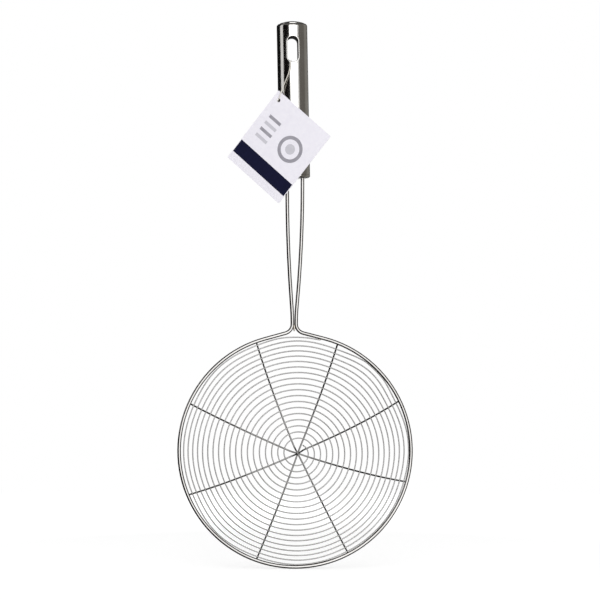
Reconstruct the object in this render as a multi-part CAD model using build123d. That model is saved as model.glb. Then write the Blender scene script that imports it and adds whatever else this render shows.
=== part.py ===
from build123d import *
import os
from math import acos, asin, ceil, cos, pi, radians, sin, sqrt, tan

# Spider skimmer: a hollow steel handle, one bent frame wire that makes the legs, the neck
# and the rim, and a bowl of one spiral wire on four spoke wires. A card tag hangs on a
# string loop through the hang slot. Millimetres and degrees. The origin is the centre of
# the hang slot, +Z points up along the handle, and the bowl opens towards -Y.

# Handle tube
tube_r = 13.0
tube_wall = 0.8
shoulder_r = 2.45
tube_edge = 0.2
mouth_r = 9.3
slot_to_mouth = 22.25
slot_to_tube_end = 106.3
handle_lean = 1.1
handle_twist = 2.5

# End cap of the handle
cap_flange_r = 10.2
cap_edge_h = 0.5
cap_edge_round = 0.2
cap_dome_rise = 1.75
cap_wall = 0.8
cap_skirt_h = 3.0

# Ferrule that closes the foot of the handle
ferrule_lip_h = 2.8
ferrule_edge_r = 2.2
ferrule_wall = 0.8
ferrule_face = 1.0
ferrule_spigot_h = 10.0

# Hang slot and its sleeve
slot_w = 9.2
slot_h = 21.8
sleeve_wall = 0.8
lip_w = 1.5
lip_proud = 0.4
lip_inner_round = 0.5
lip_outer_round = 0.25

# Frame wire: two legs, the neck and the rim
frame_wire_r = 1.55
leg_half_gap = 6.5
leg_inside = 16.0
slot_to_neck = 238.9
neck_gap = 0.1
neck_turn = 0.4
neck_bend_r = 8.0
neck_flare = 15.0
rim_outer_r = 99.7
rim_tilt = 5.4
rim_shift_x = 0.2
leg_bow_share = 0.43
leg_touch_share = 0.89
bow_bend_share = 0.827
touch_bend_share = 0.47
leg_foot_bend_r = 70.0

# Bowl: spoke wires. Each has two arms, given by their angles at the rim, halfway and at
# the bend beside the hub, because the wires bow a little to one side
bowl_r = 136.0
hub_shift_x = 2.2
hub_shift_up = -1.0
spoke_wire_r = 0.7
spoke_arm_angles = [
    ((110.4, 112.0, 116.8), (296.7, 296.4, 297.0)),
    ((156.0, 156.9, 162.0), (344.4, 343.0, 341.7)),
    ((69.2, 68.5, 68.9), (249.5, 249.8, 250.9)),
    ((26.2, 25.0, 29.6), (201.9, 203.0, 203.9)),
]
hub_bend_run = 8.0
spoke_sides = 8

# Bowl: spiral wire, evenly wound up to its last turns, which close up towards the rim
spiral_wire_r = 0.5
spiral_start_run = 8.3
spiral_start_angle = 57.0
spiral_turns = 18.94
closing_turns = 7.0
closing_run = 1.8
steps_per_turn = 4
aim_share = 0.01
spiral_sides = 6

# Hang tag
tag_w = 62.0
tag_h = 73.0
tag_thick = 0.4
tag_hole_r = 1.7
tag_hole_to_corner = 8.5
tag_yaw = 22.0
tag_pivot_left = 7.178
tag_pivot_drop = 42.3

# String loop through the slot and the tag's hole
string_r = 0.35
knot_r = 1.3
string_sides = 6
string_slack = 0.35
string_bend_share = 0.45

# Fits
press_gap = 0.02
weld_gap = 0.02
overrun = 1.0

# Values worked out from the sizes above
slot_to_foot = slot_to_tube_end + ferrule_lip_h
frame_x = slot_to_foot * sin(radians(handle_lean))
foot_z = -slot_to_foot * cos(radians(handle_lean))
rim_r = rim_outer_r - frame_wire_r
neck_half = frame_wire_r + neck_gap / 2
flare = radians(neck_flare)
rim_to_neck = rim_r * cos(flare) + (rim_r * sin(flare) - neck_half) * tan(flare)
spiral_bowl_r = bowl_r - spoke_wire_r - spiral_wire_r - weld_gap

# Local frames of the handle, the rim and the bowl
handle_place = Location((0, 0, 0), (0, -handle_lean, 0))
slot_place = handle_place * Location((0, 0, 0), (0, 0, handle_twist))
rim_up = Vector(0, sin(radians(rim_tilt)), cos(radians(rim_tilt)))
rim_facing = Vector(0, -cos(radians(rim_tilt)), sin(radians(rim_tilt)))
rim_centre = Vector(frame_x + rim_shift_x, 0, -slot_to_neck) - rim_up * rim_to_neck
rim_place = Plane(origin=rim_centre, x_dir=(1, 0, 0), z_dir=rim_facing).location
neck_place = rim_place * Location((0, 0, 0), (0, 0, neck_turn))
bowl_centre = Location((0, 0, sqrt(bowl_r**2 - rim_r**2)))
hub_turn_y = -asin(hub_shift_x / bowl_r) * 180 / pi
hub_turn_x = asin(hub_shift_up / bowl_r) * 180 / pi
bowl_place = rim_place * bowl_centre * Location((0, 0, 0), (hub_turn_x, hub_turn_y, 0))


def biarc(start, start_dir, end, end_dir):
    """Two tangent arcs that leave start along start_dir and reach end along end_dir."""
    chord = end - start
    along = chord.dot(start_dir + end_dir)
    spread = 2 * (1 - start_dir.dot(end_dir))
    reach = chord.dot(chord) / (along + sqrt(along**2 + spread * chord.dot(chord)))
    first_corner = start + start_dir * reach
    second_corner = end - end_dir * reach
    joint = (first_corner + second_corner) * 0.5
    first = TangentArc(start, joint, tangent=start_dir)
    second = TangentArc(joint, end, tangent=second_corner - first_corner)
    return [first, second]


def wire_solid(edges, radius, sides=None):
    """A round wire along the edges, or one with a many-sided section."""
    path = Wire([edge for line in edges for edge in line.edges()])
    plane = Plane(origin=path @ 0, z_dir=path % 0)
    section = Circle(radius) if sides is None else RegularPolygon(radius, sides)
    return sweep(plane * section, path=path)


def turned(profile):
    """A solid of revolution about the handle's axis from lines in the XZ plane."""
    return revolve(make_face(profile), axis=Axis.Z)


def obround(width, height, depth):
    """An upright round-ended bar through the handle, front to back."""
    outline = Plane.XZ * SlotOverall(height, width, rotation=90)
    return extrude(outline, amount=depth, both=True)


def handle_tube():
    """Drawn tube whose top edge is spun in to a round shoulder and a flat land."""
    wall_top = slot_to_mouth - shoulder_r
    edge_x = tube_r - tube_edge
    edge_z = tube_edge - slot_to_tube_end
    shoulder_x = tube_r - shoulder_r
    inner_r = tube_r - tube_wall
    outer = [
        Line((edge_x, 0, -slot_to_tube_end), (tube_r, 0, edge_z)),
        Line((tube_r, 0, edge_z), (tube_r, 0, wall_top)),
        TangentArc((tube_r, 0, wall_top), (shoulder_x, 0, slot_to_mouth), tangent=(0, 0, 1)),
        Line((shoulder_x, 0, slot_to_mouth), (mouth_r, 0, slot_to_mouth)),
        Line((mouth_r, 0, slot_to_mouth), (mouth_r, 0, slot_to_mouth - tube_wall)),
        Line((mouth_r, 0, slot_to_mouth - tube_wall), (shoulder_x, 0, slot_to_mouth - tube_wall)),
        TangentArc(
            (shoulder_x, 0, slot_to_mouth - tube_wall), (inner_r, 0, wall_top), tangent=(1, 0, 0)
        ),
        Line((inner_r, 0, wall_top), (inner_r, 0, -slot_to_tube_end)),
        Line((inner_r, 0, -slot_to_tube_end), (edge_x, 0, -slot_to_tube_end)),
    ]
    hole = obround(
        slot_w + 2 * (sleeve_wall + press_gap),
        slot_h + 2 * (sleeve_wall + press_gap),
        tube_r + overrun,
    )
    return turned(outer) - hole


def handle_end_cap():
    """Domed button whose flange sits on the land and whose skirt fits the mouth."""
    skirt_r = mouth_r - press_gap
    skirt_in = skirt_r - cap_wall
    seat = slot_to_mouth + press_gap
    edge = seat + cap_edge_h
    top = edge + cap_dome_rise
    skirt_end = seat - cap_skirt_h
    outer = [
        ThreePointArc((-cap_flange_r, 0, edge), (0, 0, top), (cap_flange_r, 0, edge)),
        Line((cap_flange_r, 0, edge), (cap_flange_r, 0, seat)),
        Line((cap_flange_r, 0, seat), (-cap_flange_r, 0, seat)),
        Line((-cap_flange_r, 0, seat), (-cap_flange_r, 0, edge)),
    ]
    half = split(make_face(outer), bisect_by=Plane.YZ, keep=Keep.TOP)
    dome = revolve(half, axis=Axis.Z)
    rings = [edge for edge in dome.edges() if edge.is_closed]
    dome = fillet(max(rings, key=lambda ring: ring.center().Z), cap_edge_round)
    skirt = extrude(Plane.XY.offset(skirt_end) * Circle(skirt_r), amount=cap_skirt_h)
    hollow = extrude(Plane.XY.offset(skirt_end) * Circle(skirt_in), amount=cap_skirt_h - press_gap)
    return dome + skirt - hollow


def handle_ferrule():
    """Pressed cup in the foot: round-edged lip, spigot inside the tube, two wire holes."""
    bottom = -slot_to_foot
    seat = -slot_to_tube_end - press_gap
    spigot_r = tube_r - tube_wall - press_gap
    inside_r = spigot_r - ferrule_wall
    lip = extrude(Plane.XY.offset(bottom) * Circle(tube_r), amount=seat - bottom)
    lip = fillet(lip.edges().filter_by(GeomType.CIRCLE).group_by(Axis.Z)[0], ferrule_edge_r)
    spigot = extrude(Plane.XY.offset(seat) * Circle(spigot_r), amount=ferrule_spigot_h)
    hollow_h = seat - bottom + ferrule_spigot_h - ferrule_face
    hollow = extrude(Plane.XY.offset(bottom + ferrule_face) * Circle(inside_r), amount=hollow_h)
    hollow = fillet(hollow.edges().filter_by(GeomType.CIRCLE).group_by(Axis.Z)[0], ferrule_edge_r)
    cup = lip + spigot - hollow
    hole = Plane.XY.offset(bottom - overrun) * Circle(frame_wire_r + weld_gap)
    for side in (-1, 1):
        cup -= extrude(hole.moved(Location((side * leg_half_gap, 0, 0))), amount=hollow_h)
    return cup


def lip_edges(sleeve, radius, width):
    """The sleeve's edges of one obround width that lie on the lip's outer surface."""
    found = []
    for edge in sleeve.edges():
        spots = [edge @ share for share in (0, 0.5, 1)]
        on_lip = all(abs(sqrt(p.X**2 + p.Y**2) - radius) < press_gap for p in spots)
        if on_lip and abs(max(abs(p.X) for p in spots) - width / 2) < press_gap:
            found.append(edge)
    return found


def hang_slot_sleeve():
    """Obround sleeve through both walls, with a rounded lip that follows the tube."""
    lip_r = tube_r + lip_proud
    tunnel = obround(slot_w, slot_h, tube_r + overrun)
    wall = obround(slot_w + 2 * sleeve_wall, slot_h + 2 * sleeve_wall, tube_r + overrun)
    lip = obround(slot_w + 2 * lip_w, slot_h + 2 * lip_w, tube_r + overrun)
    reach = slot_h + 2 * lip_w
    outside = Cylinder(lip_r, reach)
    inside = Cylinder(tube_r + press_gap, reach)
    flange = (lip & outside) - inside
    sleeve = flange + (wall & outside) - tunnel
    sleeve = fillet(lip_edges(sleeve, lip_r, slot_w), lip_inner_round)
    return fillet(lip_edges(sleeve, lip_r, slot_w + 2 * lip_w), lip_outer_round)


def leg_points(side):
    """Corners of one leg, from its end inside the handle to where it meets the rim."""
    down = Vector(sin(radians(handle_lean)), 0, -cos(radians(handle_lean)))
    across = Vector(cos(radians(handle_lean)), 0, sin(radians(handle_lean)))
    foot = Vector(frame_x, 0, foot_z) + across * (side * leg_half_gap)
    neck = (neck_place * Location((side * neck_half, rim_to_neck, 0))).position
    length = foot.Z - neck.Z
    bow = Vector(foot.X, 0, foot.Z - leg_bow_share * length)
    touch = Vector(neck.X, 0, foot.Z - leg_touch_share * length)
    rim_end = neck_place * Location((side * rim_r * sin(flare), rim_r * cos(flare), 0))
    return [foot - down * leg_inside, foot, bow, touch, neck, rim_end.position]


def turn_at(points, index):
    """Turn of the route at one of its corners, in radians."""
    before = points[index] - points[index - 1]
    after = points[index + 1] - points[index]
    return radians(before.get_angle(after))


def leg(side):
    """One leg as straight runs and tangent arcs."""
    points = leg_points(side)
    bow_run = (points[3] - points[2]).length
    touch_run = (points[4] - points[3]).length
    bow_bend_r = bow_bend_share * bow_run / tan(turn_at(points, 2) / 2)
    touch_bend_r = touch_bend_share * touch_run / tan(turn_at(points, 3) / 2)
    return FilletPolyline(*points, radius=[leg_foot_bend_r, bow_bend_r, touch_bend_r, neck_bend_r])


def frame_wire():
    """One wire: down a leg, round the rim and back up the other leg."""
    left = leg(-1)
    right = leg(1)
    bottom = (rim_place * Location((0, -rim_r, 0))).position
    rim = ThreePointArc(left @ 1, bottom, right @ 1)
    return wire_solid([left, rim, right], frame_wire_r)


def bowl_point(run, angle, radius):
    """A point on the bowl's sphere, a run along it from the hub towards an angle."""
    dip = run / radius
    return Vector(
        radius * sin(dip) * cos(radians(angle)),
        radius * sin(dip) * sin(radians(angle)),
        -radius * cos(dip),
    )


def rim_dip(angle):
    """The rim's angle from the hub, seen from the sphere's centre."""
    shift = hub_shift_x * cos(radians(angle)) + hub_shift_up * sin(radians(angle))
    return asin(rim_r / bowl_r) - shift / bowl_r


def spoke_wire(index):
    """A wire from rim to rim, stacked on its neighbours where they cross at the hub."""
    stack_pitch = 2 * spoke_wire_r + weld_gap
    lift = ((len(spoke_arm_angles) - 1) / 2 - index) * stack_pitch
    hub = Vector(0, 0, -bowl_r + lift)
    end_gap = (frame_wire_r + weld_gap) / bowl_r
    arms = []
    for rim_angle, middle_angle, bend_angle in spoke_arm_angles[index]:
        rim_run = (rim_dip(rim_angle) - end_gap) * bowl_r
        rim_end = bowl_point(rim_run, rim_angle, bowl_r)
        middle = bowl_point((rim_run + hub_bend_run) / 2, middle_angle, bowl_r)
        bend = bowl_point(hub_bend_run, bend_angle, bowl_r)
        arms.append(ThreePointArc(rim_end, middle, bend))
    first, last = arms
    span = last @ 1 - first @ 1
    across = Vector(span.X, span.Y, 0).normalized()
    path = [first]
    path += biarc(first @ 1, first % 1, hub, across)
    path += biarc(hub, across, last @ 1, last % 1 * -1)
    path += [ThreePointArc(last @ 1, last @ 0.5, last @ 0)]
    return wire_solid(path, spoke_wire_r, spoke_sides)


def spiral_end_run():
    """Run at which the spiral wire's outer end lies beside the rim, on its inside."""
    reach = frame_wire_r + spiral_wire_r + weld_gap
    beside = acos((bowl_r**2 + spiral_bowl_r**2 - reach**2) / (2 * bowl_r * spiral_bowl_r))
    end_angle = spiral_start_angle - 360 * spiral_turns
    return (rim_dip(end_angle) - beside) * spiral_bowl_r


def spiral_point(turn):
    """The spiral wire's centre after a number of turns, wound clockwise from the hub."""
    pitch = (spiral_end_run() + closing_run - spiral_start_run) / spiral_turns
    closing = max(0, 1 - (spiral_turns - turn) / closing_turns)
    run = spiral_start_run + pitch * turn - closing_run * closing**2
    return bowl_point(run, spiral_start_angle - 360 * turn, spiral_bowl_r)


def spiral_wire():
    """One wire wound from the hub to the rim, in front of the spokes."""
    steps = ceil(spiral_turns * steps_per_turn)
    route = []
    for step in range(steps + 1):
        turn = spiral_turns * step / steps
        ahead = spiral_point(turn + aim_share) - spiral_point(turn - aim_share)
        route.append((spiral_point(turn), ahead.normalized()))
    path = []
    for (start, start_dir), (end, end_dir) in zip(route, route[1:]):
        path += biarc(start, start_dir, end, end_dir)
    return wire_solid(path, spiral_wire_r, spiral_sides)


def hang_tag():
    """Card tag that hangs by one corner, turned to lie against the tube."""
    lean = acos(tag_h / sqrt(tag_w**2 + tag_h**2)) * 180 / pi
    hole_drop = tag_hole_r - string_r - string_slack
    corner = Vector(0, tag_hole_to_corner - hole_drop, 0)
    card = Rectangle(tag_w, tag_h, align=(Align.MIN, Align.MAX))
    card = card.moved(Location(corner, (0, 0, -lean)))
    hole = Circle(tag_hole_r).moved(Location((0, -hole_drop, 0)))
    facing = Vector(-sin(radians(tag_yaw)), -cos(radians(tag_yaw)), 0)
    right = Vector(cos(radians(tag_yaw)), -sin(radians(tag_yaw)), 0)
    pivot = facing * (tube_r + tag_thick / 2) - right * tag_pivot_left
    plane = Plane(origin=pivot - Vector(0, 0, tag_pivot_drop), x_dir=right, z_dir=facing)
    return extrude(plane * (card - hole), amount=tag_thick / 2, both=True)


def string_points():
    """The string's route: out of the knot, through the tag's hole, up the front, through
    the slot, down the back and round the tube's left side to the knot again."""
    return [
        Vector(-13.6, -6.3, -45.2),
        Vector(-12.1, -7.9, -43.3),
        Vector(-11.1, -11.0, -41.6),
        Vector(-9.4, -11.6, -36.0),
        Vector(-6.6, -13.0, -29.2),
        Vector(-2.4, -14.5, -19.5),
        Vector(-1.3, -14.95, -9.65),
        Vector(-1.0, -7.5, -10.0),
        Vector(-1.0, 0.0, -9.9),
        Vector(-1.0, 7.5, -10.0),
        Vector(-1.3, 14.95, -9.65),
        Vector(-3.2, 14.6, -19.5),
        Vector(-8.4, 12.2, -28.6),
        Vector(-13.8, 6.4, -37.0),
        Vector(-15.4, -1.2, -43.0),
        Vector(-14.4, -5.6, -45.6),
    ]


def tag_string():
    """Thin string along its route, as runs and tangent arcs, with the knot at its ends."""
    points = string_points()
    radii = []
    for index in range(1, len(points) - 1):
        before = (points[index] - points[index - 1]).length
        after = (points[index + 1] - points[index]).length
        radii.append(string_bend_share * min(before, after) / tan(turn_at(points, index) / 2))
    path = FilletPolyline(*points, radius=radii)
    print("string radii", [round(r, 1) for r in radii], "length", round(path.length, 1))
    knot = Sphere(knot_r).moved(Location((points[0] + points[-1]) * 0.5))
    tube = wire_solid([path], string_r, string_sides)
    section = RegularPolygon(string_r, string_sides).area
    print("string volume", round(tube.volume, 2), "for", round(section * path.length, 2))
    return tube + knot


os.makedirs("parts", exist_ok=True)
nodes = {
    "handle_tube": slot_place * handle_tube(),
    "handle_end_cap": handle_place * handle_end_cap(),
    "handle_ferrule": handle_place * handle_ferrule(),
    "hang_slot_sleeve": slot_place * hang_slot_sleeve(),
    "frame_wire": frame_wire(),
    "spiral_wire": bowl_place * spiral_wire(),
    "hang_tag": hang_tag(),
    "tag_string": tag_string(),
}
for number in range(len(spoke_arm_angles)):
    nodes["spoke_wire_" + str(number + 1)] = bowl_place * spoke_wire(number)
for name, solid in nodes.items():
    solid.label = name
    export_step(solid, "parts/" + name + ".step")
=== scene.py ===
import random
from math import acos, asin, ceil, cos, pi, radians, sin, sqrt, tan

import bpy
from mathutils import Matrix, Vector
from mathutils.geometry import delaunay_2d_cdt

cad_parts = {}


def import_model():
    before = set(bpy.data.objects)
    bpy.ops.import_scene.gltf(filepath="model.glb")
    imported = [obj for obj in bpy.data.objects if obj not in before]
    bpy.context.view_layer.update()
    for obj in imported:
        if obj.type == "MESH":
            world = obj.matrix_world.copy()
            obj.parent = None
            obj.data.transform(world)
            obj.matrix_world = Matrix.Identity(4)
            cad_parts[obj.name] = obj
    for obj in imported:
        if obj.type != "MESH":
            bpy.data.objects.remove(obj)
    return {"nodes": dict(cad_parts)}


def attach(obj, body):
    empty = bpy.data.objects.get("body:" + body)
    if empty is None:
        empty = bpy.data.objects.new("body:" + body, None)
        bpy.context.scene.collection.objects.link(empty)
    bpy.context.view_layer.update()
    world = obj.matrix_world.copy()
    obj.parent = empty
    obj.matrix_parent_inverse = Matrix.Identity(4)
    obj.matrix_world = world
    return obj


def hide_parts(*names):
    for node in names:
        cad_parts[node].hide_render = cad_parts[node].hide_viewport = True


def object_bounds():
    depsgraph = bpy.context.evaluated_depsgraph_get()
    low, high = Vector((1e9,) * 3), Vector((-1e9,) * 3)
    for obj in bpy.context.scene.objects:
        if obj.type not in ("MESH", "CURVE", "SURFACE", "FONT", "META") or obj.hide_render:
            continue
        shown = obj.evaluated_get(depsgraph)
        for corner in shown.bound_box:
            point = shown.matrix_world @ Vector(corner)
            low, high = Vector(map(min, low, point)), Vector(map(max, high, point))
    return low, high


# Spider skimmer. Metres and degrees, in the CAD frame: the origin is the centre of the hang
# slot, +Z points up along the handle and the bowl opens towards -Y.

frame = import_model()
cad_low, cad_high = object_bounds()
random.seed(7)

# Camera: straight on, with the photograph's framing
camera_distance = 2.295
view_width = 0.510
view_centre_x = 0.0065
view_centre_z = -0.2123
sensor_width = 0.036
camera_clip = (0.1, 50)

# Frame wire and rim, as in the CAD
handle_lean = 1.1
slot_to_foot = 0.1091
slot_to_neck = 0.2389
frame_wire_r = 0.00155
neck_gap = 0.0001
neck_flare = 15.0
neck_turn = 0.4
rim_outer_r = 0.0997
rim_tilt = 5.4
rim_shift_x = 0.0002

# Bowl, as in the CAD
bowl_r = 0.136
hub_shift_x = 0.0022
hub_shift_up = -0.001
spoke_wire_r = 0.0007
spoke_arm_angles = [
    ((110.4, 112.0, 116.8), (296.7, 296.4, 297.0)),
    ((156.0, 156.9, 162.0), (344.4, 343.0, 341.7)),
    ((69.2, 68.5, 68.9), (249.5, 249.8, 250.9)),
    ((26.2, 25.0, 29.6), (201.9, 203.0, 203.9)),
]
hub_bend_run = 0.008
spiral_wire_r = 0.0005
spiral_start_run = 0.0083
spiral_start_angle = 57.0
spiral_turns = 18.94
closing_turns = 7.0
closing_run = 0.0018
weld_gap = 0.00002
wire_step = 0.002
wire_sides = 12
spiral_sides = 10
hub_bend_steps = 8
middle_run_share = 0.5
bend_run_share = 0.07
tube_end_share = 0.75
tube_end_round_share = 0.3

# The last turns bow outwards between the arms, given clockwise from the arm before each bow
bow_arms = [26.0, 344.0, 297.0, 250.0, 202.5, 156.4, 110.6, 69.0]
bow_shares = [0.3, 0.06, 0.24, 0.41, 0.11, 0.33, 0.33, 0.9]
bow_reach = 0.0053
bow_growth_share = 1.5

# Welds
nugget_w = 0.0011
nugget_h = 0.0007
spoke_weld_w = 0.0026
spoke_weld_depth_share = 0.8
spoke_weld_h_share = 0.7
spiral_weld_w = 0.0030
neck_weld_w = 0.0026
neck_weld_l = 0.0062
neck_weld_drop = 0.0030
neck_weld_w_share = 0.62
neck_weld_h_share = 0.5
neck_weld_depth_share = 0.62
neck_weld_rows = 10
neck_weld_sides = 14
weld_roughness_share = 0.16

# Inner walls of the hang slot's sleeve, which get painted shade
tunnel_reach = 0.005
tunnel_depth = 0.0126
tunnel_flatness = 0.3

# Hang tag, as in the CAD
tag_w = 0.062
tag_h = 0.073
tag_thick = 0.0004
tag_hole_r = 0.0017
tag_hole_to_corner = 0.0085
tag_yaw = 22.0
tag_pivot = Vector((-0.0116, -0.00955, -0.0423))
card_corner_r = 0.0008
card_corner_steps = 4
card_grid = 0.004
card_tolerance = 1e-7
card_wave = 0.00008
card_wave_across = 130
card_wave_up = 90
hole_sides = 32
disc_sides = 48

# String, with the points of the CAD's route
string_r = 0.00035
string_slack = 0.00035
string_route = [
    (-0.0136, -0.0063, -0.0452),
    (-0.0121, -0.0079, -0.0433),
    (-0.0111, -0.0110, -0.0416),
    (-0.0094, -0.0116, -0.0360),
    (-0.0066, -0.0130, -0.0292),
    (-0.0024, -0.0145, -0.0195),
    (-0.0013, -0.01495, -0.00965),
    (-0.0010, -0.0075, -0.0100),
    (-0.0010, 0.0, -0.0099),
    (-0.0010, 0.0075, -0.0100),
    (-0.0013, 0.01495, -0.00965),
    (-0.0032, 0.0146, -0.0195),
    (-0.0084, 0.0122, -0.0286),
    (-0.0138, 0.0064, -0.0370),
    (-0.0154, -0.0012, -0.0430),
    (-0.0144, -0.0056, -0.0456),
]
knot_scale = 0.00042
knot_steps = 48
knot_tail = 0.0065
knot_tail_spread = 0.0012
knot_tail_lift = 0.0006
knot_tail_shares = (0, 0.15, 0.4, 0.7, 1.0)
knot_tail_r_share = 0.8

# Values worked out from the sizes above
frame_x = slot_to_foot * sin(radians(handle_lean))
rim_r = rim_outer_r - frame_wire_r
neck_half = frame_wire_r + neck_gap / 2
flare = radians(neck_flare)
rim_to_neck = rim_r * cos(flare) + (rim_r * sin(flare) - neck_half) * tan(flare)
spiral_bowl_r = bowl_r - spoke_wire_r - spiral_wire_r - weld_gap
hole_drop = tag_hole_r - string_r - string_slack
floor_z = cad_low.z


def placed(origin, x_dir, z_dir):
    """A frame with that origin, X direction and Z direction."""
    y_dir = z_dir.cross(x_dir)
    turn = Matrix((x_dir, y_dir, z_dir)).transposed()
    return Matrix.Translation(origin) @ turn.to_4x4()


rim_up = Vector((0, sin(radians(rim_tilt)), cos(radians(rim_tilt))))
rim_facing = Vector((0, -cos(radians(rim_tilt)), sin(radians(rim_tilt))))
rim_centre = Vector((frame_x + rim_shift_x, 0, -slot_to_neck)) - rim_up * rim_to_neck
rim_place = placed(rim_centre, Vector((1, 0, 0)), rim_facing)
neck_place = rim_place @ Matrix.Rotation(radians(neck_turn), 4, "Z")
bowl_place = (
    rim_place
    @ Matrix.Translation((0, 0, sqrt(bowl_r**2 - rim_r**2)))
    @ Matrix.Rotation(asin(hub_shift_up / bowl_r), 4, "X")
    @ Matrix.Rotation(-asin(hub_shift_x / bowl_r), 4, "Y")
)
tag_facing = Vector((-sin(radians(tag_yaw)), -cos(radians(tag_yaw)), 0))
tag_right = Vector((cos(radians(tag_yaw)), -sin(radians(tag_yaw)), 0))
tag_place = placed(tag_pivot, tag_right, tag_facing)
tag_lean = acos(tag_h / sqrt(tag_w**2 + tag_h**2))


# Materials

# The scales of their noises, per metre, and the height of the finest grain
stain_scale = 90
mottle_scale = 260
fibre_scale = 2600
fuzz_scale = 3200
mark_scale = 1500
grain_height = 0.0001
card_gloss = 0.2
thread_sheen = 0.3


class Shader:
    """A material's or world's nodes: add() makes a node, sets its inputs and links them."""

    def __init__(self, owner, output="OutputMaterial"):
        self.owner = owner
        self.owner.use_nodes = True
        self.tree = self.owner.node_tree
        self.tree.nodes.clear()
        self.output = self.add(output)

    def add(self, kind, settings=None, **inputs):
        node = self.tree.nodes.new("ShaderNode" + kind)
        for key, value in (settings or {}).items():
            setattr(node, key, value)
        for key, value in inputs.items():
            name = key.replace("_", " ")
            socket = node.inputs[int(name[1:])] if name[1:].isdigit() else node.inputs[name]
            if isinstance(value, bpy.types.NodeSocket):
                self.tree.links.new(value, socket)
            else:
                socket.default_value = value
        return node

    def surface(self, socket):
        self.tree.links.new(socket, self.output.inputs["Surface"])
        return self.owner


def new_material(name):
    """The empty shader of a new material."""
    return Shader(bpy.data.materials.new(name))


def object_noise(shader, stretch, scale, detail=4.0):
    """Noise over the object's own coordinates, drawn out along the axes by stretch."""
    place = shader.add("TexCoord").outputs["Object"]
    mapped = shader.add("Mapping", Vector=place, Scale=stretch)
    noise = shader.add("TexNoise", Vector=mapped.outputs[0], Scale=scale, Detail=detail)
    return noise.outputs["Fac"]


def ramp(shader, fac, low, high, low_value=0, high_value=1):
    """Maps a range of a value to another range."""
    node = shader.add("MapRange", Value=fac)
    node.inputs["From Min"].default_value = low
    node.inputs["From Max"].default_value = high
    node.inputs["To Min"].default_value = low_value
    node.inputs["To Max"].default_value = high_value
    return node.outputs[0]


def tint(shader, fac, first, second):
    """A colour between two."""
    node = shader.add("Mix", {"data_type": "RGBA"})
    shader.tree.links.new(fac, node.inputs["Factor"])
    node.inputs["A"].default_value = (*first, 1)
    node.inputs["B"].default_value = (*second, 1)
    return node.outputs["Result"]


def steel(name, clean, worn, smooth, rough, grain, grain_scale, grain_depth, edge=1.0):
    """Steel with faint stains and a drawn grain; edge is how much its edges reflect."""
    shader = new_material(name)
    stains = object_noise(shader, (1, 1, 1), stain_scale)
    lines = object_noise(shader, grain, grain_scale, 6)
    colour = tint(shader, ramp(shader, stains, 0.35, 0.7), clean, worn)
    roughness = ramp(shader, lines, 0.3, 0.7, smooth, rough)
    bump = shader.add("Bump", Height=lines, Strength=grain_depth, Distance=grain_height)
    metal = shader.add(
        "BsdfPrincipled",
        Base_Color=colour,
        Metallic=1.0,
        Roughness=roughness,
        Normal=bump.outputs[0],
    )
    metal.inputs["Specular Tint"].default_value = (edge, edge, edge, 1)
    return shader.surface(metal.outputs[0])


def card_paper(name, light, dark, roughness):
    """Coated card: a slight mottle and a fine fibre."""
    shader = new_material(name)
    mottle = object_noise(shader, (1, 1, 1), mottle_scale)
    fibre = object_noise(shader, (1, 1, 1), fibre_scale, 2)
    colour = tint(shader, ramp(shader, mottle, 0.3, 0.7), light, dark)
    bump = shader.add("Bump", Height=fibre, Strength=0.12, Distance=grain_height)
    paper = shader.add(
        "BsdfPrincipled", Base_Color=colour, Roughness=roughness, Normal=bump.outputs[0]
    )
    paper.inputs["Specular IOR Level"].default_value = card_gloss
    return shader.surface(paper.outputs[0])


def cotton(name):
    """Cotton thread: fuzzy, slightly uneven cream."""
    shader = new_material(name)
    fuzz = object_noise(shader, (1, 1, 1), fuzz_scale, 5)
    shade = ramp(shader, fuzz, 0.3, 0.7)
    colour = tint(shader, shade, (0.83, 0.80, 0.73), (0.62, 0.58, 0.50))
    bump = shader.add("Bump", Height=fuzz, Strength=0.5, Distance=grain_height)
    thread = shader.add(
        "BsdfPrincipled", Base_Color=colour, Roughness=0.9, Normal=bump.outputs[0]
    )
    thread.inputs["Sheen Weight"].default_value = thread_sheen
    return shader.surface(thread.outputs[0])


def shaded_wall(name):
    """Painted shade for the steel inside the slot, where little light reaches: dark, marked along
    its depth.
    """
    shader = new_material(name)
    marks = object_noise(shader, (1, 0.05, 1), mark_scale, 4)
    shade = ramp(shader, marks, 0.35, 0.65)
    colour = tint(shader, shade, (0.05, 0.048, 0.045), (0.16, 0.155, 0.15))
    wall = shader.add("BsdfDiffuse", Color=colour)
    return shader.surface(wall.outputs[0])


handle_steel = steel(
    "handle_steel",
    clean=(0.64, 0.63, 0.61),
    worn=(0.58, 0.565, 0.54),
    smooth=0.10,
    rough=0.17,
    grain=(1, 1, 0.04),
    grain_scale=1500,
    grain_depth=0.02,
)
# Painted shade for the slot's inner walls
tunnel_painted_shade = shaded_wall("tunnel_painted_shade")
# The handle's steel painted darker, with dim edges: painted shade that darkens the ring's and
# legs' reflections
frame_steel = steel(
    "frame_steel",
    clean=(0.36, 0.353, 0.345),
    worn=(0.31, 0.302, 0.292),
    smooth=0.10,
    rough=0.15,
    grain=(1, 1, 0.2),
    grain_scale=1400,
    grain_depth=0.02,
    edge=0.15,
)
# The same steel painted darker: painted shade that darkens the spiral's reflections
basket_steel = steel(
    "basket_steel",
    clean=(0.36, 0.355, 0.35),
    worn=(0.30, 0.295, 0.29),
    smooth=0.16,
    rough=0.22,
    grain=(1, 1, 1),
    grain_scale=1600,
    grain_depth=0.01,
    edge=0.5,
)
# The same steel painted darker still, with dim edges: painted shade that darkens the spokes'
# reflections
spoke_steel_painted_shade = steel(
    "spoke_steel_painted_shade",
    clean=(0.24, 0.236, 0.23),
    worn=(0.19, 0.186, 0.18),
    smooth=0.12,
    rough=0.18,
    grain=(1, 1, 1),
    grain_scale=1600,
    grain_depth=0.01,
    edge=0.1,
)
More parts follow.
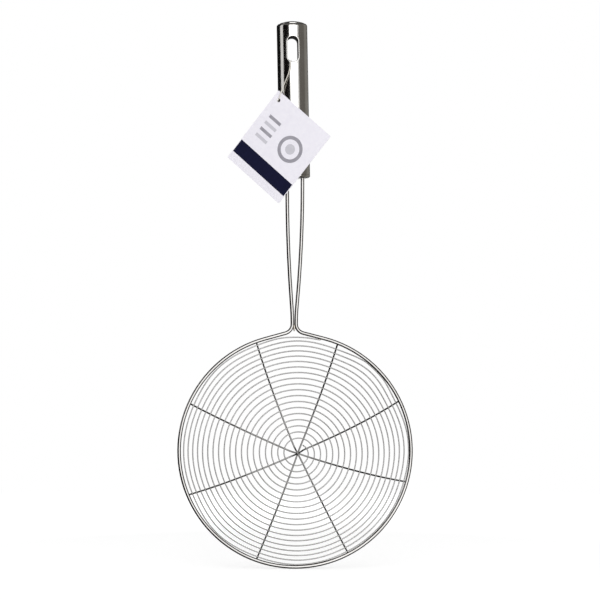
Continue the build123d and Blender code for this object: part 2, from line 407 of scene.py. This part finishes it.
weld_steel = steel(
    "weld_steel",
    clean=(0.50, 0.48, 0.45),
    worn=(0.36, 0.32, 0.27),
    smooth=0.25,
    rough=0.42,
    grain=(1, 1, 1),
    grain_scale=2200,
    grain_depth=0.3,
)
tag_white = card_paper("tag_white", (0.87, 0.85, 0.91), (0.83, 0.81, 0.88), 0.5)
tag_navy = card_paper("tag_navy", (0.002, 0.003, 0.024), (0.003, 0.004, 0.03), 0.8)
tag_grey = card_paper("tag_grey", (0.30, 0.29, 0.33), (0.36, 0.35, 0.39), 0.45)
tag_pale = card_paper("tag_pale", (0.60, 0.59, 0.64), (0.56, 0.55, 0.60), 0.45)
thread_cotton = cotton("thread_cotton")


# Helpers for the pieces


def tube_frames(points):
    """The direction of travel at each point, and a side direction carried along untwisted."""
    ways = []
    for index in range(len(points)):
        before = points[max(index - 1, 0)]
        after = points[min(index + 1, len(points) - 1)]
        ways.append((after - before).normalized())
    side = ways[0].orthogonal().normalized()
    frames = []
    for way in ways:
        side = (side - way * side.dot(way)).normalized()
        frames.append((way, side, way.cross(side)))
    return frames


def tube(points, radius, sides):
    """Vertices and faces of a round tube through the points, with rounded ends."""
    frames = tube_frames(points)
    rings = []
    count = len(points)
    for index, (point, (way, side, up)) in enumerate(zip(points, frames)):
        end = -1 if index == 0 else 1 if index == count - 1 else 0
        if end:
            tip = point + way * (end * radius * tube_end_round_share)
            rings.append((tip, radius * tube_end_share, side, up))
        rings.append((point, radius, side, up))
        if end == 1:
            rings[-1], rings[-2] = rings[-2], rings[-1]
    vertices, faces = [], []
    for place, ring_r, side, up in rings:
        for step in range(sides):
            around = 2 * pi * step / sides
            vertices.append(place + (side * cos(around) + up * sin(around)) * ring_r)
    for row in range(len(rings) - 1):
        low, high = row * sides, (row + 1) * sides
        for step in range(sides):
            beside = (step + 1) % sides
            faces.append((low + step, low + beside, high + beside, high + step))
    last = (len(rings) - 1) * sides
    faces.append(tuple(range(sides))[::-1])
    faces.append(tuple(range(last, last + sides)))
    return vertices, faces


def wire(name, points, radius, material, sides=wire_sides):
    """A round wire through the points, as a mesh."""
    vertices, faces = tube(points, radius, sides)
    return mesh_piece(name, vertices, faces, [material])


def mesh_piece(name, vertices, faces, materials, smooth=True):
    """A mesh object from its vertices and faces."""
    mesh = bpy.data.meshes.new(name)
    mesh.from_pydata([tuple(v) for v in vertices], [], faces)
    for material in materials:
        mesh.materials.append(material)
    for face in mesh.polygons:
        face.use_smooth = smooth
    piece = bpy.data.objects.new(name, mesh)
    bpy.context.collection.objects.link(piece)
    return piece


def bowl_point(run, angle, radius):
    """A point on the bowl's sphere, a run along it from the hub towards an angle."""
    dip = run / radius
    around = radians(angle)
    across = radius * sin(dip)
    return bowl_place @ Vector((across * cos(around), across * sin(around), -radius * cos(dip)))


def rim_dip(angle):
    """The rim's angle from the hub, seen from the sphere's centre."""
    shift = hub_shift_x * cos(radians(angle)) + hub_shift_up * sin(radians(angle))
    return asin(rim_r / bowl_r) - shift / bowl_r


# Bowl


def rim_limit(angle):
    """The longest run at which the spiral wire still lies inside the rim."""
    reach = frame_wire_r + spiral_wire_r + weld_gap
    beside = acos((bowl_r**2 + spiral_bowl_r**2 - reach**2) / (2 * bowl_r * spiral_bowl_r))
    return (rim_dip(angle) - beside) * spiral_bowl_r


def bow_at(angle):
    """How far the last turns bow outwards at an angle, between two arms."""
    for arm, next_arm, share in zip(bow_arms, bow_arms[1:] + bow_arms[:1], bow_shares):
        past_arm = (arm - angle) % 360
        width = (arm - next_arm) % 360
        if past_arm < width:
            return share * bow_reach * sin(pi * past_arm / width) ** 2
    return 0


def spiral_run(turn):
    """The spiral wire's run from the hub after a number of turns."""
    angle = spiral_start_angle - 360 * turn
    end_run = rim_limit(spiral_start_angle - 360 * spiral_turns)
    pitch = (end_run + closing_run - spiral_start_run) / spiral_turns
    closing = max(0, 1 - (spiral_turns - turn) / closing_turns)
    run = spiral_start_run + pitch * turn - closing_run * closing**2
    return min(run + bow_at(angle) * closing**bow_growth_share, rim_limit(angle))


def spiral_wire():
    """The wire wound clockwise from the hub to the rim."""
    points = []
    turn = 0.0
    while turn < spiral_turns:
        run = spiral_run(turn)
        points.append(bowl_point(run, spiral_start_angle - 360 * turn, spiral_bowl_r))
        turn += wire_step / (2 * pi * spiral_bowl_r * sin(run / spiral_bowl_r))
    end_angle = spiral_start_angle - 360 * spiral_turns
    points.append(bowl_point(spiral_run(spiral_turns), end_angle, spiral_bowl_r))
    return wire("basket_spiral", points, spiral_wire_r, basket_steel, spiral_sides)


def spoke_run_end(angle):
    """Where a spoke ends on the rim wire, as a run from the hub."""
    return (rim_dip(angle) - (frame_wire_r + weld_gap) / bowl_r) * bowl_r


def arc_points(start, middle, end, steps):
    """Points along the circle through three points."""
    first, second = middle - start, end - start
    normal = first.cross(second)
    sideways = second.cross(normal) * first.length_squared
    sideways += normal.cross(first) * second.length_squared
    centre = start + sideways / (2 * normal.length_squared)
    reach = start - centre
    axis = reach.cross(end - centre).normalized()
    turn = reach.angle(end - centre)
    turns = [Matrix.Rotation(turn * step / steps, 3, axis) for step in range(steps + 1)]
    return [centre + turned @ reach for turned in turns]


def spoke_arm(angles):
    """Points along one arm of a spoke, from the rim to the bend beside the hub."""
    rim_angle, middle_angle, bend_angle = angles
    end_run = spoke_run_end(rim_angle)
    start = bowl_point(end_run, rim_angle, bowl_r)
    middle = bowl_point((end_run + hub_bend_run) / 2, middle_angle, bowl_r)
    bend = bowl_point(hub_bend_run, bend_angle, bowl_r)
    return arc_points(start, middle, bend, ceil((end_run - hub_bend_run) / wire_step))


def spoke(index):
    """One spoke from rim to rim, bent where it crosses the others at the hub."""
    stack = (len(spoke_arm_angles) - 1) / 2 - index
    lift = stack * (2 * spoke_wire_r + weld_gap)
    hub = bowl_place @ Vector((0, 0, -bowl_r + lift))
    first, last = [spoke_arm(angles) for angles in spoke_arm_angles[index]]
    across = (last[-1] - first[-1]) / 2
    middle = []
    for start, end, start_dir, end_dir in (
        (first[-1], hub, (first[-1] - first[-2]).normalized() * across.length, across),
        (hub, last[-1], across, (last[-2] - last[-1]).normalized() * across.length),
    ):
        shares = [step / hub_bend_steps for step in range(1, hub_bend_steps)]
        middle += [hermite(start, start_dir, end, end_dir, share) for share in shares]
        if end == hub:
            middle.append(hub)
    points = first + middle + last[::-1]
    return wire("basket_spoke_" + str(index + 1), points, spoke_wire_r, spoke_steel_painted_shade)


def arm_angle(angles, run):
    """The angle at which an arm passes a run, from its rim end, its middle and its bend."""
    rim_angle, middle_angle, bend_angle = angles
    whole = spoke_run_end(rim_angle) - hub_bend_run
    share = (run - hub_bend_run) / whole
    middle_offset = (middle_angle - rim_angle) * middle_run_share
    bend_offset = (bend_angle - rim_angle) * bend_run_share
    bow = 4 * share * (1 - share) * (middle_offset - bend_offset / 2) + (1 - share) * bend_offset
    return rim_angle + bow * whole / max(run, hub_bend_run)


def hermite(start, start_dir, end, end_dir, share):
    """A point on the cubic that leaves start along start_dir and meets end along end_dir."""
    square, cube = share**2, share**3
    return (
        start * (2 * cube - 3 * square + 1)
        + start_dir * (cube - 2 * square + share)
        + end * (3 * square - 2 * cube)
        + end_dir * (cube - square)
    )


def blob(centre, along, across, length, width, height, rows=6, sides=10):
    """Vertices and faces of a lumpy weld bead, longest along one direction."""
    out = along.cross(across).normalized()
    across = out.cross(along).normalized()
    along = along.normalized()
    vertices = [centre - along * length / 2]
    for row in range(1, rows):
        rise = pi * row / rows
        for side in range(sides):
            around = 2 * pi * side / sides
            lump = 1 + random.uniform(-weld_roughness_share, weld_roughness_share)
            spread = sin(rise) * lump
            vertices.append(
                centre
                - along * cos(rise) * length / 2
                + across * cos(around) * spread * width / 2
                + out * sin(around) * spread * height / 2
            )
    vertices.append(centre + along * length / 2)
    faces = []
    for side in range(sides):
        beside = (side + 1) % sides
        faces.append((0, 1 + beside, 1 + side))
        for row in range(rows - 2):
            low, high = 1 + row * sides, 1 + (row + 1) * sides
            faces.append((low + side, low + beside, high + beside, high + side))
        last = 1 + (rows - 2) * sides
        faces.append((last + side, last + beside, len(vertices) - 1))
    return vertices, faces


def joined(name, blobs, material):
    """One piece from many blobs."""
    vertices, faces = [], []
    for blob_vertices, blob_faces in blobs:
        base = len(vertices)
        vertices += blob_vertices
        faces += [tuple(base + index for index in face) for face in blob_faces]
    return mesh_piece(name, vertices, faces, [material])


def crossing_welds():
    """A small nugget wherever the spiral crosses a spoke."""
    contact_r = bowl_r - spoke_wire_r - weld_gap / 2
    blobs = []
    for angles in [arm for arms in spoke_arm_angles for arm in arms]:
        turn = ((spiral_start_angle - angles[0]) / 360) % 1
        while turn < spiral_turns:
            run = spiral_run(turn)
            angle = arm_angle(angles, run)
            centre = bowl_point(run, angle, contact_r)
            along = bowl_point(run + nugget_w, angle, contact_r) - centre
            across = bowl_point(run, angle + 1, contact_r) - centre
            blobs.append(blob(centre, across, along, nugget_w, nugget_w, nugget_h))
            turn += 1
    return joined("crossing_welds", blobs, weld_steel)


def rim_welds():
    """The beads that hold the spokes' ends and the spiral's end on the rim."""
    depth, height = spoke_weld_w * spoke_weld_depth_share, spoke_weld_w * spoke_weld_h_share
    blobs = []
    for angles in [arm for arms in spoke_arm_angles for arm in arms]:
        angle = angles[0]
        run = spoke_run_end(angle)
        centre = bowl_point(run + spoke_wire_r, angle, bowl_r)
        along = bowl_point(run + spoke_weld_w, angle, bowl_r) - centre
        across = bowl_point(run, angle + 1, bowl_r) - bowl_point(run, angle, bowl_r)
        blobs.append(blob(centre, across, along, spoke_weld_w, depth, height))
    end_angle = spiral_start_angle - 360 * spiral_turns
    run = spiral_run(spiral_turns)
    centre = bowl_point(run + spiral_wire_r, end_angle, spiral_bowl_r + spiral_wire_r)
    across = bowl_point(run, end_angle + 1, spiral_bowl_r)
    across -= bowl_point(run, end_angle, spiral_bowl_r)
    along = bowl_point(run + spiral_weld_w, end_angle, spiral_bowl_r) - centre
    blobs.append(blob(centre, across, along, spiral_weld_w, spiral_weld_w / 2, spiral_weld_w / 2))
    return joined("rim_welds", blobs, weld_steel)


def neck_weld():
    """The bead in the groove where the two legs meet."""
    centre = neck_place @ Vector((0, rim_to_neck + neck_weld_drop, 0))
    down, right = Vector((0, 0, -1)), Vector((1, 0, 0))
    width, height = neck_weld_w * neck_weld_w_share, neck_weld_w * neck_weld_h_share
    fineness = neck_weld_rows, neck_weld_sides
    blobs = []
    for side in (-1, 1):
        place = centre + Vector((0, side * neck_weld_depth_share * frame_wire_r, 0))
        blobs.append(blob(place, down, right, neck_weld_l, width, height, *fineness))
    return joined("neck_weld", blobs, weld_steel)


# String and knot


def string_line():
    """The string's own line: the route's points as the control points of a smooth spline."""
    curve = bpy.data.curves.new("tag_string_line", "CURVE")
    curve.dimensions = "3D"
    curve.resolution_u = 16
    spline = curve.splines.new("NURBS")
    spline.points.add(len(string_route) - 1)
    for point, place in zip(spline.points, string_route):
        point.co = (*place, 1)
    spline.order_u = 3
    spline.use_endpoint_u = True
    return curve


def string_piece():
    """The thread that carries the tag."""
    curve = string_line()
    curve.bevel_depth = string_r
    curve.bevel_resolution = 4
    curve.use_fill_caps = True
    curve.materials.append(thread_cotton)
    piece = bpy.data.objects.new("string_loop", curve)
    bpy.context.collection.objects.link(piece)
    return piece


def knot_piece():
    """An overhand knot with two short tails."""
    centre = (Vector(string_route[0]) + Vector(string_route[-1])) / 2
    points = []
    for step in range(knot_steps + 1):
        t = 2 * pi * step / knot_steps
        loop = Vector((sin(t) + 2 * sin(2 * t), -sin(3 * t), cos(t) - 2 * cos(2 * t)))
        points.append(centre + loop * knot_scale)
    knot = wire("string_knot", points, string_r, thread_cotton)
    for name, side in (("string_tail_a", -1), ("string_tail_b", 1)):
        reach = Vector((side * knot_tail_spread, knot_tail_lift, -knot_tail))
        tail = [centre + reach * share for share in knot_tail_shares]
        end = wire(name, tail, string_r * knot_tail_r_share, thread_cotton)
        end.parent = knot
    return knot


# Tag


def card_point(across, down):
    """A point of the tag from its top corner, in the tag's own plane."""
    return Vector(
        (
            across * cos(tag_lean) - down * sin(tag_lean),
            tag_hole_to_corner - hole_drop - across * sin(tag_lean) - down * cos(tag_lean),
        )
    )


def ring(centre, radius, count):
    """Points round a circle."""
    return [
        centre + Vector((cos(2 * pi * i / count), sin(2 * pi * i / count))) * radius
        for i in range(count)
    ]


def card_box(left, top, right, bottom):
    """A rectangle on the card, from its distances across and down."""
    corners = (left, top), (right, top), (right, bottom), (left, bottom)
    return [card_point(across, down) for across, down in corners]


def inside(point, loop):
    """Whether a point lies within a closed loop of points."""
    hit = False
    for here, there in zip(loop, loop[1:] + loop[:1]):
        if (here.y > point.y) != (there.y > point.y):
            share = (point.y - here.y) / (there.y - here.y)
            if point.x < here.x + share * (there.x - here.x):
                hit = not hit
    return hit


# The tag's print: each shape with its ink, as an index into the card's materials
white, navy, grey, pale = range(4)
tag_margin = 0.0005
band_top, band_bottom = 0.053, 0.0655
disc_centre = card_point(0.0405, 0.0315)
disc_radii = [(0.0115, grey), (0.0085, white), (0.0045, pale)]
bar_left, bar_right = 0.0075, 0.0205
bar_tops = [0.020, 0.0265, 0.033, 0.0395]
bar_h = 0.0028


def tag_print():
    """The loops of the printed shapes, the later ones over the earlier ones."""
    shapes = [(card_box(tag_margin, band_top, tag_w - tag_margin, band_bottom), navy)]
    for radius, ink in disc_radii:
        shapes.append((ring(disc_centre, radius, disc_sides), ink))
    for count, top in enumerate(bar_tops):
        ink = pale if count % 2 else grey
        shapes.append((card_box(bar_left, top, bar_right, top + bar_h), ink))
    return shapes


def card_outline():
    """The card's edge, with its corners slightly rounded."""
    outline = []
    corners = [(0, 0), (tag_w, 0), (tag_w, tag_h), (0, tag_h)]
    for number, (across, down) in enumerate(corners):
        inner_across = min(max(across, card_corner_r), tag_w - card_corner_r)
        inner_down = min(max(down, card_corner_r), tag_h - card_corner_r)
        for step in range(card_corner_steps + 1):
            turn = pi + pi / 2 * (number + step / card_corner_steps)
            edge_across = inner_across + card_corner_r * cos(turn)
            edge_down = inner_down + card_corner_r * sin(turn)
            outline.append(card_point(edge_across, edge_down))
    return outline


def tag_card():
    """The card with its punched hole, its print and its raw edges."""
    outline = card_outline()
    hole = ring(Vector((0, -hole_drop)), tag_hole_r, hole_sides)
    shapes = tag_print()
    loops = [outline, hole] + [loop for loop, ink in shapes]
    points, edges = [], []
    for loop in loops:
        base = len(points)
        points += loop
        edges += [(base + i, base + (i + 1) % len(loop)) for i in range(len(loop))]
    for row in range(1, int(tag_h / card_grid) + 1):
        for column in range(1, int(tag_w / card_grid) + 1):
            across, down = column * card_grid - card_grid / 2, row * card_grid - card_grid / 2
            points.append(card_point(across, down))
    flat, _, faces, _, _, _ = delaunay_2d_cdt(points, edges, [], 0, card_tolerance)
    kept, inks = [], []
    for face in faces:
        centre = sum((flat[i] for i in face), Vector((0, 0))) / len(face)
        if not inside(centre, outline) or inside(centre, hole):
            continue
        kept.append(list(face))
        inks.append(white)
        for loop, ink in shapes:
            if inside(centre, loop):
                inks[-1] = ink
    return card_solid(flat, kept, inks)


def card_solid(flat, faces, inks):
    """The flat faces as a card of its thickness, printed on the front."""
    vertices = []
    for side in (0.5, -0.5):
        for point in flat:
            wave = card_wave * sin(point.x * card_wave_across) * cos(point.y * card_wave_up)
            vertices.append(tag_place @ Vector((point.x, point.y, tag_thick * side + wave)))
    count = len(flat)
    solid, materials = [], []
    border = {}
    for face, ink in zip(faces, inks):
        turned = face if area(flat, face) > 0 else face[::-1]
        solid.append(tuple(turned))
        materials.append(ink)
        solid.append(tuple(count + i for i in reversed(turned)))
        materials.append(white)
        for here, there in zip(turned, turned[1:] + turned[:1]):
            border[(here, there)] = border.get((here, there), 0) + 1
    for here, there in border:
        if (there, here) not in border:
            solid.append((there, here, count + here, count + there))
            materials.append(white)
    card_inks = [tag_white, tag_navy, tag_grey, tag_pale]
    piece = mesh_piece("tag_card", vertices, solid, card_inks, False)
    for face, ink in zip(piece.data.polygons, materials):
        face.material_index = ink
    return piece


def area(points, face):
    """The signed area of a flat face."""
    total = 0.0
    for here, there in zip(face, face[1:] + face[:1]):
        total += points[here].x * points[there].y - points[there].x * points[here].y
    return total / 2


# Put the pieces on the CAD's bodies


def dress():
    """Gives the CAD nodes their steel, and puts each new piece on its body."""
    for node in ("handle_tube", "handle_end_cap", "handle_ferrule", "hang_slot_sleeve"):
        paint(node, handle_steel)
    paint("frame_wire", frame_steel)
    shade_tunnel()
    spiral = spiral_wire()
    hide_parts("spiral_wire")
    steel_pieces = [spiral, crossing_welds(), rim_welds()]
    for index in range(len(spoke_arm_angles)):
        piece = spoke(index)
        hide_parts("spoke_wire_" + str(index + 1))
        steel_pieces.append(piece)
    bead = neck_weld()
    for piece in steel_pieces + [bead]:
        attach(piece, "skimmer")
    card = tag_card()
    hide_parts("hang_tag")
    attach(card, "tag")
    thread = string_piece()
    knot = knot_piece()
    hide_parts("tag_string")
    for piece in (thread, knot):
        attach(piece, "skimmer")


def paint(node, material):
    """Gives a CAD node its material."""
    piece = frame["nodes"][node]
    piece.data.materials.clear()
    piece.data.materials.append(material)


def shade_tunnel():
    """Paints shade on the sleeve's inner walls, which face each other."""
    sleeve = frame["nodes"]["hang_slot_sleeve"]
    sleeve.data.materials.append(tunnel_painted_shade)
    for face in sleeve.data.polygons:
        centre = sleeve.matrix_world @ face.center
        out = sleeve.matrix_world.to_3x3() @ face.normal
        faces_in = out.x * centre.x + out.z * centre.z < 0
        within = abs(centre.x) < tunnel_reach and abs(centre.y) < tunnel_depth
        if abs(out.y) < tunnel_flatness and faces_in and within:
            face.material_index = 1


# Stage, light and camera


def shown_ray(shader):
    """1 for the rays that show the white background: camera, glossy and transmission rays."""
    rays = shader.add("LightPath").outputs
    larger = {"operation": "MAXIMUM"}
    first = shader.add("Math", larger, _0=rays["Is Camera Ray"], _1=rays["Is Glossy Ray"])
    both = shader.add("Math", larger, _0=first.outputs[0], _1=rays["Is Transmission Ray"])
    return both.outputs[0]


# The floor's own white is a share of it near the object, and all of it farther out
floor_half = 4.0
floor_white_share = 0.3
floor_white_level = 2.02
floor_shadow_reach = 0.12
floor_white_reach = 0.6
world_light = 0.5


def floor():
    """A pale floor that stays white in the picture and keeps the object's shadow."""
    shader = new_material("floor_white")
    lit = shader.add("BsdfDiffuse", Color=(0.9, 0.9, 0.9, 1))
    place = shader.add("NewGeometry")
    away = shader.add("VectorMath", {"operation": "LENGTH"}, _0=place.outputs["Position"])
    ends = dict(
        Value=away.outputs["Value"],
        From_Min=-floor_z + floor_shadow_reach,
        From_Max=-floor_z + floor_white_reach,
    )
    whiter = shader.add("MapRange", To_Min=floor_white_share, To_Max=1.0, **ends)
    level = shader.add("MapRange", To_Min=floor_white_level, To_Max=1.0, **ends)
    glow = shader.add("Emission", Color=(1, 1, 1, 1), Strength=level.outputs[0])
    product = {"operation": "MULTIPLY"}
    share = shader.add("Math", product, _0=shown_ray(shader), _1=whiter.outputs[0])
    mix = shader.add("MixShader", Fac=share.outputs[0], _1=lit.outputs[0], _2=glow.outputs[0])
    material = shader.surface(mix.outputs[0])
    corners = [
        (x * floor_half, y * floor_half, floor_z) for x, y in ((-1, -1), (1, -1), (1, 1), (-1, 1))
    ]
    piece = mesh_piece("floor", corners, [(0, 1, 2, 3)], [material], False)
    piece.visible_glossy = False


def world():
    """White where the camera or a reflection sees it, and a plain level of soft light."""
    studio = bpy.data.worlds.new("studio")
    bpy.context.scene.world = studio
    shader = Shader(studio, "OutputWorld")
    level = shader.add("MapRange", Value=shown_ray(shader), To_Min=world_light, To_Max=1.0)
    back = shader.add("Background", Color=(1, 1, 1, 1), Strength=level.outputs[0])
    shader.surface(back.outputs[0])


# Cards round the object that only reflections see: azimuth from the camera towards the
# right, elevation, distance, width, height, roll and brightness
stage_centre = Vector((0.0, 0.0, -0.2))
cards = [
    ("flag_left", -47.5, 0, 1.2, 1.12, 3.0, 0, (0.006, 0.005, 0.005)),
    ("flag_back_left", -132.5, 0, 1.2, 1.54, 3.0, 0, (0.008, 0.008, 0.008)),
    ("flag_low_left", -87, -24.4, 1.318, 0.8, 1.5, 0, (0.006, 0.006, 0.006)),
    ("card_right", 75, 0, 1.2, 1.2, 3.0, 0, (0.17, 0.16, 0.145)),
    ("card_back", 180, 20, 1.5, 1.9, 1.1, 0, (0.16, 0.16, 0.16)),
    ("card_right_back", 122, 0, 1.3, 1.1, 3.0, 0, (0.27, 0.26, 0.24)),
    ("flag_back_right", 157, 0, 1.4, 0.5, 3.0, 0, (0.03, 0.03, 0.03)),
    ("card_above", 0, 72, 1.35, 3.2, 1.5, 0, (0.17, 0.165, 0.16)),
    ("card_above_back", 180, 49, 1.35, 3.2, 1.9, 0, (0.07, 0.07, 0.07)),
    ("flag_below", 0, -72, 1.35, 3.2, 1.5, 0, (0.03, 0.029, 0.027)),
    ("flag_below_back", 180, -49, 1.35, 3.2, 1.9, 0, (0.02, 0.02, 0.02)),
]
softbox = dict(azimuth=11, elevation=8, distance=1.5, width=1.35, height=2.6, roll=28, level=2.0)


def toward(azimuth, elevation, distance):
    """A place round the object, and the turn that faces its centre from there."""
    a, e = radians(azimuth), radians(elevation)
    out = Vector((sin(a) * cos(e), -cos(a) * cos(e), sin(e)))
    turn = out.to_track_quat("Z", "Y").to_matrix().to_4x4()
    return Matrix.Translation(stage_centre + out * distance) @ turn


def reflector(name, azimuth, elevation, distance, width, height, roll, colour):
    """A plain card that only reflections see."""
    shader = new_material(name)
    glow = shader.add("Emission", Color=(*colour, 1), Strength=1.0)
    material = shader.surface(glow.outputs[0])
    place = toward(azimuth, elevation, distance) @ Matrix.Rotation(radians(roll), 4, "Z")
    corners = [
        place @ Vector((x * width / 2, y * height / 2, 0))
        for x, y in ((-1, -1), (1, -1), (1, 1), (-1, 1))
    ]
    piece = mesh_piece(name, corners, [(0, 1, 2, 3)], [material], False)
    piece.visible_camera = False
    piece.visible_diffuse = False
    piece.visible_shadow = False
    piece.visible_transmission = False


def main_light():
    """The large softbox, in front and to the right."""
    lamp = bpy.data.lights.new("softbox", "AREA")
    lamp.shape = "RECTANGLE"
    lamp.size = softbox["width"]
    lamp.size_y = softbox["height"]
    lamp.energy = softbox["level"] * pi * lamp.size * lamp.size_y
    piece = bpy.data.objects.new("softbox", lamp)
    bpy.context.collection.objects.link(piece)
    turn = Matrix.Rotation(radians(softbox["roll"]), 4, "Z")
    place = toward(softbox["azimuth"], softbox["elevation"], softbox["distance"])
    piece.matrix_world = place @ turn
    piece.visible_camera = False


def camera():
    """The photograph's view: a long lens, straight on."""
    data = bpy.data.cameras.new("camera")
    data.sensor_width = sensor_width * 1000
    data.lens = sensor_width * 1000 * camera_distance / view_width
    data.clip_start, data.clip_end = camera_clip
    piece = bpy.data.objects.new("camera", data)
    bpy.context.collection.objects.link(piece)
    piece.location = (view_centre_x, -camera_distance, view_centre_z)
    piece.rotation_euler = (pi / 2, 0, 0)
    bpy.context.scene.camera = piece


dress()
floor()
world()
for card in cards:
    reflector(*card)
main_light()
camera()
bpy.context.scene.view_settings.view_transform = "Standard"
